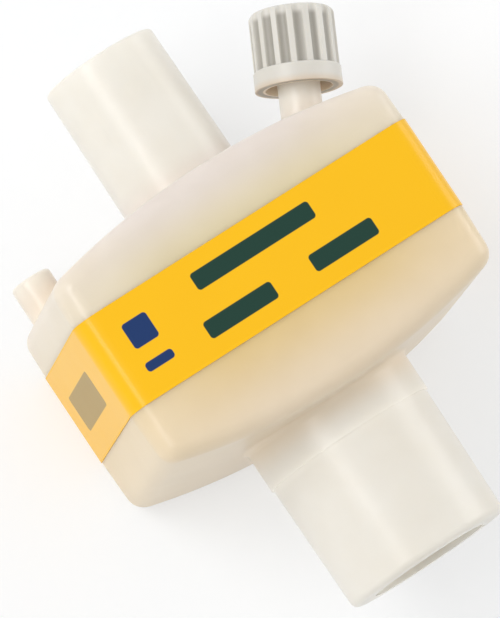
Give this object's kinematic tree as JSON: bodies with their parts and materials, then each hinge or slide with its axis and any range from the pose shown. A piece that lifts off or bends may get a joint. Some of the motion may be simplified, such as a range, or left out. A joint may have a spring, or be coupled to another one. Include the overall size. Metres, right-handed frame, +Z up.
{
  "type": "breathing circuit filter",
  "caption": "Breathing circuit filter: flat translucent housing with a pleated pack, a 15 mm male port, a 22 mm male and 15 mm female port, and a capped sampling port.",
  "frame": {"origin": "centre of the label's back face, on which the filter lies", "axes": "+X along the long side towards the sampling port, +Y along the flow axis towards the machine port, +Z up, out of the label's front face"},
  "size_m": [0.0514, 0.0719, 0.036],
  "materials": {
    "upper_shell": "translucent milky polymer, polished moulding",
    "lower_shell": "translucent milky polymer, polished moulding",
    "media": "matt glass-fibre paper",
    "seal": "cast adhesive",
    "label_film": "satin printed film",
    "cap": "semi-gloss moulded plastic"
  },
  "bodies": {
    "filter": {"upper_housing": "upper_shell", "lower_housing": "lower_shell", "filter_media": "media", "edge_seal": "seal", "label": "label_film"},
    "cap": {"luer_cap": "cap"}
  },
  "joints": [
    {"name": "cap_lift", "type": "slide", "parent": "filter", "child": "cap", "axis": [0.4617, 0.887, 0], "range_m": [0, 0.015]}
  ]
}
